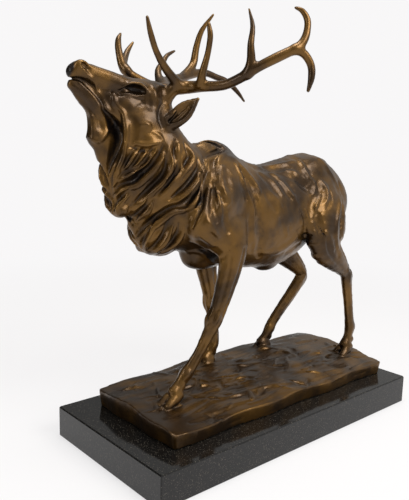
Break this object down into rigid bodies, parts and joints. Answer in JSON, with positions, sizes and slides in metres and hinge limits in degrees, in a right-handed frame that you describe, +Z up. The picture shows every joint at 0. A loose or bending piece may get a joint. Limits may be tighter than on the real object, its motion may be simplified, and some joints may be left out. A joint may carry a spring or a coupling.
{
  "type": "stag sculpture",
  "caption": "Bronze bugling stag with branched antlers, striding on rough cast ground, on a polished black stone plinth.",
  "frame": {"origin": "centre of the plinth's underside", "axes": "+Z up, -X towards the stag's head, -Y towards its left flank"},
  "size_m": [0.4127, 0.1976, 0.4837],
  "materials": {
    "bronze": "brown patinated cast bronze, rubbed golden on the ridges and dark in the folds",
    "granite": "polished black granite with fine pale grains"
  },
  "bodies": {
    "root": {"bronze_stag": "bronze", "granite_plinth": "granite"}
  },
  "joints": []
}
